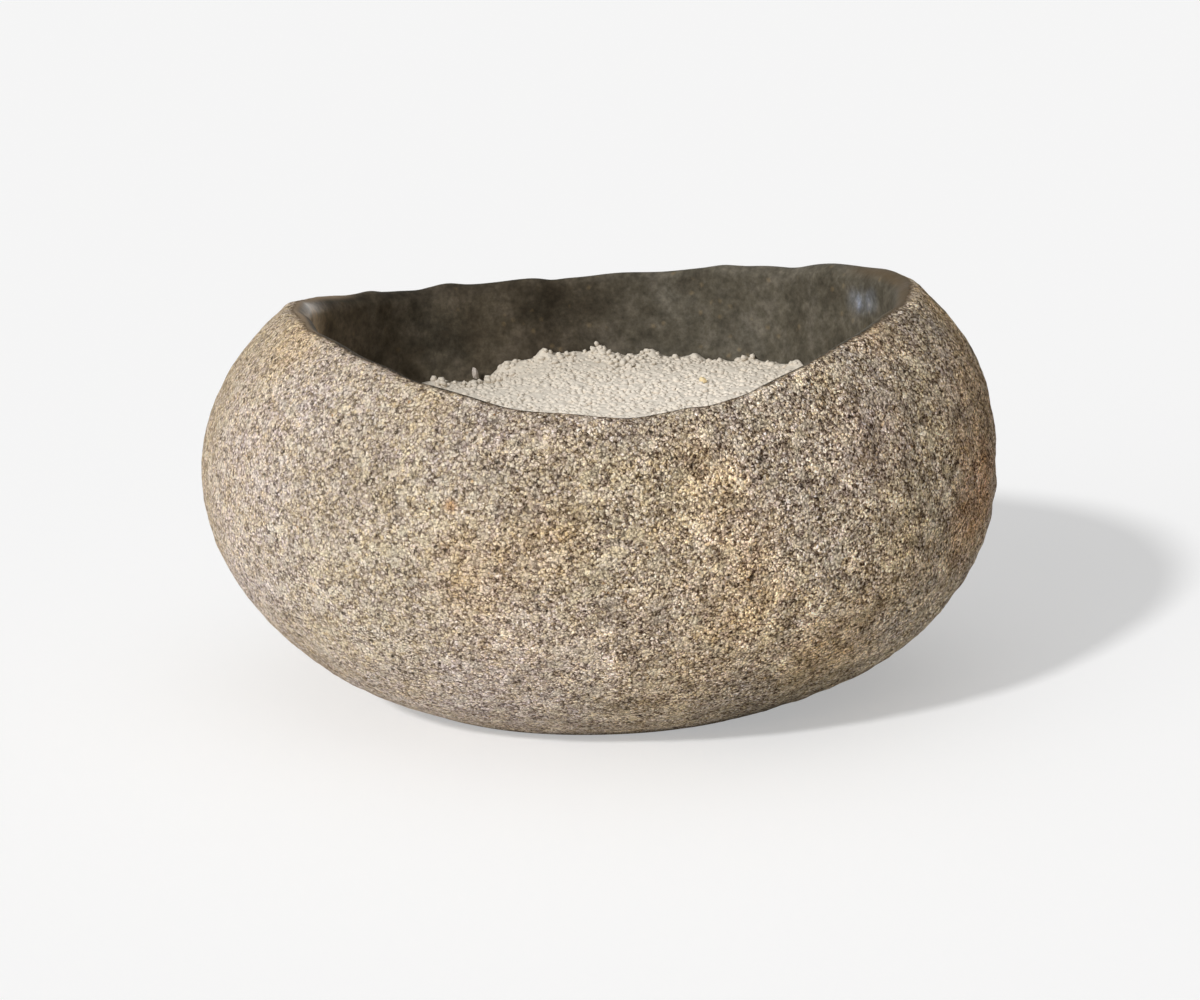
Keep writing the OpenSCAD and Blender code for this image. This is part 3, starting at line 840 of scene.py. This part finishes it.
def stone_relief(tree, across, value, distance, hole):
    """Domed grains of uneven height with pits, higher to the right."""
    dome = rest_of(tree, maths(tree, "POWER", distance, 2.0))
    relief = maths(tree, "ADD", product(tree, dome, DOME_PART), product(tree, value, TONE_PART))
    relief = maths(tree, "SUBTRACT", relief, hole)
    return product(tree, relief, map_range(tree, across, RELIEF_LEFT, RELIEF_RIGHT))


def stone_material():
    """Rough pale grains outside, and the same stone honed dark on the lip and in the hollow."""
    material, tree = new_material("river_stone")
    where = object_place(tree)
    bent = bent_place(tree, where)
    across = steps(tree, node(tree, "ShaderNodeSeparateXYZ", {0: where}).outputs[0], *ACROSS)
    colour, value, distance = rough_grains(tree, where, bent, across)
    colour, hole = pitted(tree, bent, broad_tints(tree, where, colour, across))
    crest = mesh_value(tree, "past_crest")
    blotch = noise(tree, where, *BLOTCH)
    honed = honed_stone(tree, where, bent, crest, blotch)

    # rough stone turns brown and then honed towards the lip
    wander = product(tree, maths(tree, "SUBTRACT", noise(tree, where, *WANDER), 0.5), EDGE_WANDER)
    edge = maths(tree, "ADD", mesh_value(tree, "past_edge"), wander)
    brown = product(tree, steps(tree, edge, *BROWN_FROM), BROWN_STRENGTH)
    colour = blend(tree, brown, colour, EDGE_TONE)
    cut = steps(tree, edge, *HONED_EDGE)
    base = blend(tree, cut, colour, honed)
    relief = stone_relief(tree, across, value, distance, hole)
    honed_relief = product(tree, blotch, HONED_RELIEF)
    height = node(tree, "ShaderNodeMix", {0: cut, 2: relief, 3: honed_relief}).outputs[0]
    roughness = map_range(tree, cut, ROUGH_STONE, HONED_STONE)
    # the lip is polished bright at the left end
    centre, radius, strength = POLISHED
    past = steps(tree, crest, *POLISHED_PAST)
    polish = product(tree, near(tree, where, centre, radius), past, cut, strength)
    finish_material(tree, base, roughness, STONE_SPECULAR, height, STONE_RELIEF, coat=polish)
    return material


def grain_material(name, pale, deep, roughness, glow=0.0):
    """Broken white mineral: each grain its own shade, faintly cloudy, and darker towards the hollow's wall.
    """
    material, tree = new_material(name)
    where = object_place(tree)
    own = node(tree, "ShaderNodeNewGeometry").outputs["Random Per Island"]
    cloudy = noise(tree, where, *CLOUDY)
    shade = maths(tree, "ADD", product(tree, own, OWN_SHADE), product(tree, cloudy, CLOUD_SHADE))
    base = blend(tree, steps(tree, shade, *SHADED), pale, deep)
    flat = vector_maths(tree, "MULTIPLY_ADD", where, OUTWARD_SCALE, OUTWARD_SHIFT)[0]
    out = vector_maths(tree, "LENGTH", flat)["Value"]
    darkening = product(tree, steps(tree, out, *OUTWARD_FROM), OUTWARD_STRENGTH)
    base = tinted(tree, base, OUTWARD_TINT, darkening)
    relief = noise(tree, where, *GRAIN_RELIEF)
    finish_material(tree, base, roughness, GRAIN_SPECULAR, relief, FILL_RELIEF, glow)
    return material


def seen_directly(tree):
    """1 for what the camera sees, also through glass or in a reflection."""
    path = node(tree, "ShaderNodeLightPath").outputs
    seen = maths(tree, "MAXIMUM", path["Is Camera Ray"], path["Is Glossy Ray"])
    return maths(tree, "MAXIMUM", seen, path["Is Transmission Ray"])


def floor_material():
    """A plain pale floor, lifted where it is seen so that it is as pale as the background."""
    material, tree = new_material("floor")
    seen = seen_directly(tree)
    plain = [FLOOR_TONE] * 3 + [1]
    base = blend(tree, seen, plain, [FLOOR_TONE * FLOOR_SHARE] * 3 + [1])
    surface = node(tree, "ShaderNodeBsdfPrincipled", {
        "Base Color": base, "Roughness": 1.0, "Specular IOR Level": 0.0,
        "Emission Color": (1, 1, 1, 1), "Emission Strength": product(tree, seen, FLOOR_LIFT),
    })
    node(tree, "ShaderNodeOutputMaterial", {"Surface": surface.outputs[0]})
    return material


# Stage

# The sun: where its light goes and how steeply it comes down, in degrees, its strength, and its spread
KEY_TOWARDS, KEY_DOWN, KEY_STRENGTH, KEY_SPREAD = 54.0, 32.8, 2.5, 5.0
# The sky is dim but for a broad soft light low at the front left and another overhead
SKY, LOW_LIGHT, TOP_LIGHT = 0.06, 2.28, 0.86
LOW_FROM, LOW_EDGE, TOP_EDGE = (-0.72, -0.68, 0.12), 0.75, 0.5
BACKGROUND = srgb(245, 245, 245)
# The floor's tone, the share of it that is kept where it is seen, and the glow that lifts it there
FLOOR_TONE, FLOOR_SHARE, FLOOR_LIFT = 0.913, 0.66, 0.403
FLOOR_SIZE, FLOOR_BELOW = 9.0, 0.0003
# The camera: sensor and focal length in mm, its place in metres and its tilt in degrees
SENSOR, LENS = 36.0, 80.22
CAMERA_AT, CAMERA_TILT = (0.00063, -0.91763, 0.31218), 75


def make_floor():
    bpy.ops.mesh.primitive_plane_add(size=FLOOR_SIZE, location=(0, 0, -FLOOR_BELOW))
    floor = bpy.context.object
    floor.name = "floor"
    floor.data.materials.append(floor_material())


def make_key_light():
    key = bpy.data.lights.new("key", "SUN")
    key.energy = KEY_STRENGTH
    key.angle = math.radians(KEY_SPREAD)
    lamp = bpy.data.objects.new("key", key)
    down = math.radians(KEY_DOWN)
    towards = math.radians(KEY_TOWARDS)
    aim = Vector((math.cos(towards) * math.cos(down), math.sin(towards) * math.cos(down), -math.sin(down)))
    lamp.rotation_euler = aim.to_track_quat("-Z", "Y").to_euler()
    bpy.context.collection.objects.link(lamp)


def make_sky():
    """Light from all round, and a plain background for what the camera sees."""
    world = bpy.data.worlds.new("studio")
    bpy.context.scene.world = world
    world.use_nodes = True
    tree = world.node_tree
    tree.nodes.clear()
    direction = node(tree, "ShaderNodeTexCoord").outputs["Generated"]
    low = vector_maths(tree, "DOT_PRODUCT", direction, LOW_FROM)["Value"]
    high = node(tree, "ShaderNodeSeparateXYZ", {0: direction}).outputs[2]
    level = product(tree, steps(tree, low, LOW_EDGE, 1.0), LOW_LIGHT)
    level = maths(tree, "ADD", level, product(tree, steps(tree, high, TOP_EDGE, 1.0), TOP_LIGHT))
    sky = node(tree, "ShaderNodeBackground", {"Strength": maths(tree, "ADD", level, SKY)})
    plain = node(tree, "ShaderNodeBackground", {"Color": BACKGROUND, "Strength": 1.0})
    mix = node(tree, "ShaderNodeMixShader", {0: seen_directly(tree), 1: sky.outputs[0], 2: plain.outputs[0]})
    node(tree, "ShaderNodeOutputWorld", {0: mix.outputs[0]})


def make_camera():
    camera = bpy.data.cameras.new("camera")
    camera.sensor_width = SENSOR
    camera.lens = LENS
    obj = bpy.data.objects.new("camera", camera)
    obj.location = CAMERA_AT
    obj.rotation_euler = (math.radians(CAMERA_TILT), 0, 0)
    bpy.context.collection.objects.link(obj)
    bpy.context.scene.camera = obj


# Pieces: colours, how high the two odd grains are lifted out of the fill, and how rough the grains are

WHITE, WHITE_DEEP = srgb(227, 218, 204), srgb(222, 212, 198)
AMBER, AMBER_DEEP = srgb(242, 222, 182), srgb(236, 210, 160)
# a greyer white for the grain that leans on the wall
GREYER_WHITE, GREYER_WHITE_DEEP = srgb(206, 197, 188), srgb(190, 180, 172)
AMBER_LIFT, WALL_GRAIN_LIFT, WALL_GRAIN_STRETCH = 0.6, 4.0, (0.85, 0.75, 1.4)
WHITE_ROUGHNESS, ODD_ROUGHNESS, AMBER_GLOW = 0.8, 0.5, 0.3


def make_amber_grain():
    r = float(hollow_r(np.float64(AMBER_A), FILL_Z)) - AMBER_IN
    amber = make_odd_grain("amber_piece", AMBER_A, r, AMBER_L, AMBER_LIFT, 3)
    amber.data.materials.append(grain_material("amber_grain", AMBER, AMBER_DEEP, ODD_ROUGHNESS, AMBER_GLOW))
    return amber


def make_wall_grain():
    wall_r = float(hollow_r(np.float64(WALL_GRAIN_A), FILL_Z - DIP_H))
    r = wall_r - WALL_GRAIN_L / 2 - 2 * SEAT_GAP
    name = "leaning_piece"
    grain = make_odd_grain(name, WALL_GRAIN_A, r, WALL_GRAIN_L, WALL_GRAIN_LIFT, 5, WALL_GRAIN_STRETCH)
    grain.data.materials.append(grain_material("wall_grain", GREYER_WHITE, GREYER_WHITE_DEEP, ODD_ROUGHNESS))
    return grain


def make_pieces():
    """Every piece with its material, the node that it replaces and its slot."""
    stone = make_stone()
    stone.data.materials.append(stone_material())
    fill_body = make_fill_body()
    fill_body.data.materials.append(grain_material("packed_grains", WHITE, WHITE_DEEP, WHITE_ROUGHNESS))
    grains = make_white_grains()
    grains.data.materials.append(grain_material("white_grain", WHITE, WHITE_DEEP, WHITE_ROUGHNESS))
    return [
        (stone, "stone_bowl", "river_stone"), (fill_body, "grain_bed", "white_grain"),
        (grains, "top_grains", "white_grain"), (make_amber_grain(), "amber_grain", "amber_grain"),
        (make_wall_grain(), "wall_grain", "white_grain"),
    ]


def main():
    for piece, replaced, slot in make_pieces():
        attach(piece, "root")
        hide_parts(replaced)
    make_floor()
    make_key_light()
    make_sky()
    make_camera()
    bpy.context.scene.view_settings.view_transform = "Standard"


main()
